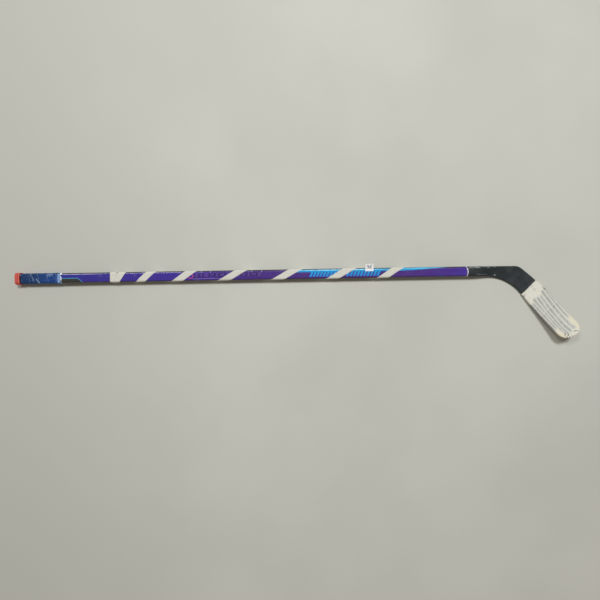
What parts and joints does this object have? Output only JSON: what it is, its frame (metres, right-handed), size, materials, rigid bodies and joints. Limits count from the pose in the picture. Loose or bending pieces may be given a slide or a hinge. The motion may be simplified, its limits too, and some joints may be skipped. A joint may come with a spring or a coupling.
{
  "type": "ice hockey stick",
  "caption": "Right-handed two-piece ice hockey stick: hollow rounded-rectangular shaft, angled curved blade, cloth tape spiral, taped blade and rubber butt cap.",
  "frame": {"origin": "centre of the butt cap's end face, on the shaft's axis", "axes": "+X runs down the shaft to the blade, +Y points to the heel side of the shaft, +Z out of the forehand face of the blade; the stick lies on its back face"},
  "size_m": [1.6711, 0.2295, 0.049],
  "materials": {
    "cap_rubber": "soft matte red rubber",
    "plug_wood": "bare wood",
    "glue": "hot-melt glue film",
    "shaft_paint": "glossy violet lacquer on carbon composite, with cyan and dark graphics",
    "grip": "worn glossy dark blue grip wrap",
    "grip_band": "pale blue finishing tape",
    "cloth_tape": "off-white woven cotton friction tape",
    "label_paper": "plain white sticker",
    "blade_paint": "satin black paint on carbon composite, scuffed at the edges",
    "joint_bead": "chipped pale paint and glue line",
    "foam": "rigid foam",
    "bridge": "solid composite rib"
  },
  "bodies": {
    "root": {"butt_cap": "cap_rubber", "end_plug": "plug_wood", "plug_glue": "glue", "shaft_tube": "shaft_paint", "grip_tape": "grip", "grip_end_band": "grip_band", "tape_start_ring": "cloth_tape", "tape_spiral": "cloth_tape", "price_label": "label_paper", "hosel": "blade_paint", "tenon_glue": "glue", "joint_bead": "joint_bead", "front_skin": "blade_paint", "back_skin": "blade_paint", "core_lower": "foam", "core_upper": "foam", "core_bridge": "bridge", "sole_edge_strip": "blade_paint", "top_edge_strip": "blade_paint", "blade_tape_collar": "cloth_tape", "blade_tape_strip_1": "cloth_tape", "blade_tape_strip_2": "cloth_tape", "blade_tape_strip_3": "cloth_tape", "blade_tape_strip_4": "cloth_tape", "blade_tape_strip_5": "cloth_tape", "blade_tape_strip_6": "cloth_tape"}
  },
  "joints": []
}
